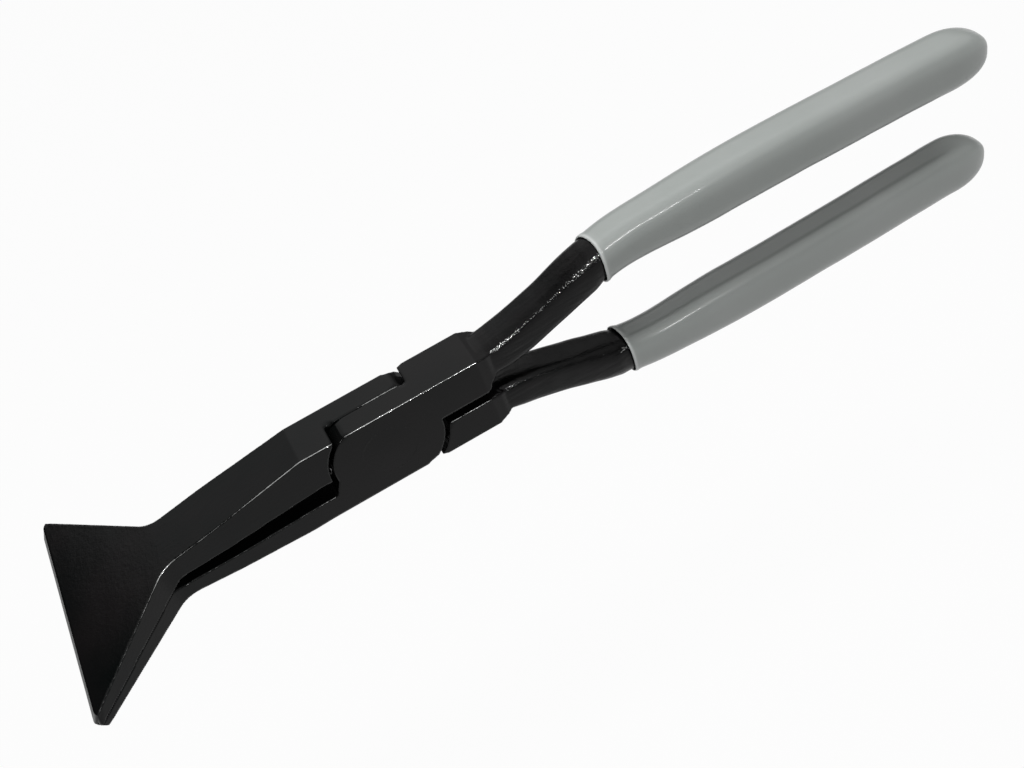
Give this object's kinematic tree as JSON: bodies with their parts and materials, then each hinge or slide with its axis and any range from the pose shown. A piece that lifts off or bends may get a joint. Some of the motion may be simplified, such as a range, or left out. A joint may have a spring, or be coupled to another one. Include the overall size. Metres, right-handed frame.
{
  "type": "seaming pliers",
  "caption": "Straight seaming pliers: black forged levers with wide triangular jaws, a riveted lap joint and reins in dipped grey grips.",
  "frame": {"origin": "under the middle of the closed pliers' box, on the surface that the lower grip stands on", "axes": "+X along the tool from the lips to the handle ends, +Z the way the upper jaw opens, Y along the pivot's axis"},
  "size_m": [0.2518, 0.06, 0.0516],
  "materials": {
    "black_lacquer": "semi-gloss black lacquer over forged steel",
    "rivet_steel": "steel rivet ground flush and lacquered black with the levers",
    "grip_vinyl": "smooth semi-gloss dipped vinyl, light grey"
  },
  "bodies": {
    "lever_a": {"lever_a": "black_lacquer", "pivot_rivet": "rivet_steel", "upper_grip": "grip_vinyl"},
    "lever_b": {"lever_b": "black_lacquer", "lower_grip": "grip_vinyl"}
  },
  "joints": [
    {"name": "jaw_pivot", "type": "hinge", "parent": "lever_a", "child": "lever_b", "pos_m": [-0.0433, 0, 0.0258], "axis": [0, 1, 0], "range_deg": [0, 35]}
  ]
}
